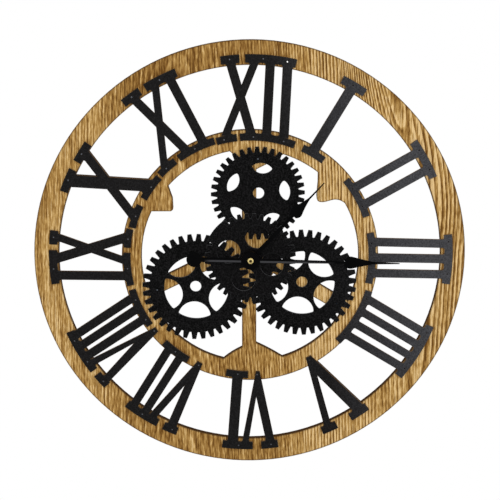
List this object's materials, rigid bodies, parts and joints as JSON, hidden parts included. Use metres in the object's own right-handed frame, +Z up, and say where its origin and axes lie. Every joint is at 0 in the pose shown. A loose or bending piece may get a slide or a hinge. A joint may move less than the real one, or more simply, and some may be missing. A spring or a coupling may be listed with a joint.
{
  "type": "wall clock",
  "caption": "Large round wall clock with an open wooden frame, black Roman numerals and gear cut-outs, spade hands and a battery movement.",
  "frame": {"origin": "centre of the hole that hangs the clock on its wall hook, on the wall plane at the clock's back", "axes": "+Z up the wall, +X to the viewer's right, -Y out of the wall along the hands' shaft towards the viewer"},
  "size_m": [0.5999, 0.0505, 0.6],
  "materials": {
    "oak_board": "satin",
    "black_board": "matte",
    "nail_steel": "satin",
    "brass": "polished",
    "black_metal": "satin",
    "white_plastic": "satin",
    "black_plastic": "matte",
    "magnet": "satin",
    "iron": "satin",
    "copper_wire": "polished",
    "green_laminate": "satin",
    "cell_sleeve": "gloss"
  },
  "bodies": {
    "clock": {"frame_board": "oak_board", "numeral_nails": "nail_steel", "gear_nails": "nail_steel", "top_gear": "black_board", "left_gear": "black_board", "right_gear": "black_board", "centre_gear": "black_board", "gear_spacer": "black_board", "threaded_bushing": "brass", "washer": "brass", "hex_nut": "brass", "stator": "iron", "coil": "copper_wire", "circuit_board": "green_laminate", "crystal": "iron", "train_plate": "white_plastic", "movement_case": "black_plastic", "case_cover": "black_plastic", "cover_screws": "iron", "battery": "cell_sleeve", "plus_contact": "iron", "minus_contact": "iron", "numeral_01": "black_board", "numeral_02": "black_board", "numeral_03": "black_board", "numeral_04": "black_board", "numeral_05": "black_board", "numeral_06": "black_board", "numeral_07": "black_board", "numeral_08": "black_board", "numeral_09": "black_board", "numeral_10": "black_board", "numeral_11": "black_board", "numeral_12": "black_board"},
    "minute": {"minute_arbor": "brass", "minute_hand": "black_metal", "hand_nut": "brass"},
    "hour": {"hour_wheel": "white_plastic", "hour_hand": "black_metal"},
    "motion": {"minute_wheel": "white_plastic"},
    "setting": {"setting_knob": "black_plastic"},
    "centre": {"centre_wheel": "white_plastic"},
    "third": {"third_wheel": "white_plastic"},
    "second": {"second_wheel": "white_plastic"},
    "intermediate": {"intermediate_wheel": "white_plastic"},
    "magnet_rotor": {"rotor": "magnet"}
  },
  "joints": [
    {"name": "minute_turn", "type": "hinge", "parent": "clock", "child": "minute", "pos_m": [0, -0.011, -0.037], "axis": [0, 1, 0], "continuous": true},
    {"name": "hour_turn", "type": "hinge", "parent": "clock", "child": "hour", "pos_m": [0, -0.011, -0.037], "axis": [0, 1, 0], "continuous": true},
    {"name": "motion_turn", "type": "hinge", "parent": "clock", "child": "motion", "pos_m": [-0.00752, -0.011, -0.03974], "axis": [0, 1, 0], "continuous": true},
    {"name": "setting_turn", "type": "hinge", "parent": "clock", "child": "setting", "pos_m": [-0.01549, -0.011, -0.03904], "axis": [0, 1, 0], "continuous": true},
    {"name": "centre_turn", "type": "hinge", "parent": "clock", "child": "centre", "pos_m": [0, -0.011, -0.037], "axis": [0, 1, 0], "continuous": true},
    {"name": "third_turn", "type": "hinge", "parent": "clock", "child": "third", "pos_m": [-0.00757, -0.011, -0.0293], "axis": [0, 1, 0], "continuous": true},
    {"name": "second_turn", "type": "hinge", "parent": "clock", "child": "second", "pos_m": [-0.00302, -0.011, -0.02017], "axis": [0, 1, 0], "continuous": true},
    {"name": "intermediate_turn", "type": "hinge", "parent": "clock", "child": "intermediate", "pos_m": [0.006, -0.011, -0.02345], "axis": [0, 1, 0], "continuous": true},
    {"name": "rotor_turn", "type": "hinge", "parent": "clock", "child": "magnet_rotor", "pos_m": [0.01401, -0.011, -0.02601], "axis": [0, 1, 0], "continuous": true}
  ],
  "couplings": [
    {"joint": "hour_turn", "follows": "minute_turn", "ratio": 0.083333},
    {"joint": "motion_turn", "follows": "minute_turn", "ratio": -0.33333},
    {"joint": "setting_turn", "follows": "minute_turn", "ratio": 1},
    {"joint": "third_turn", "follows": "second_turn", "ratio": -0.13333},
    {"joint": "centre_turn", "follows": "second_turn", "ratio": 0.016667},
    {"joint": "intermediate_turn", "follows": "second_turn", "ratio": -5},
    {"joint": "rotor_turn", "follows": "second_turn", "ratio": 30}
  ]
}
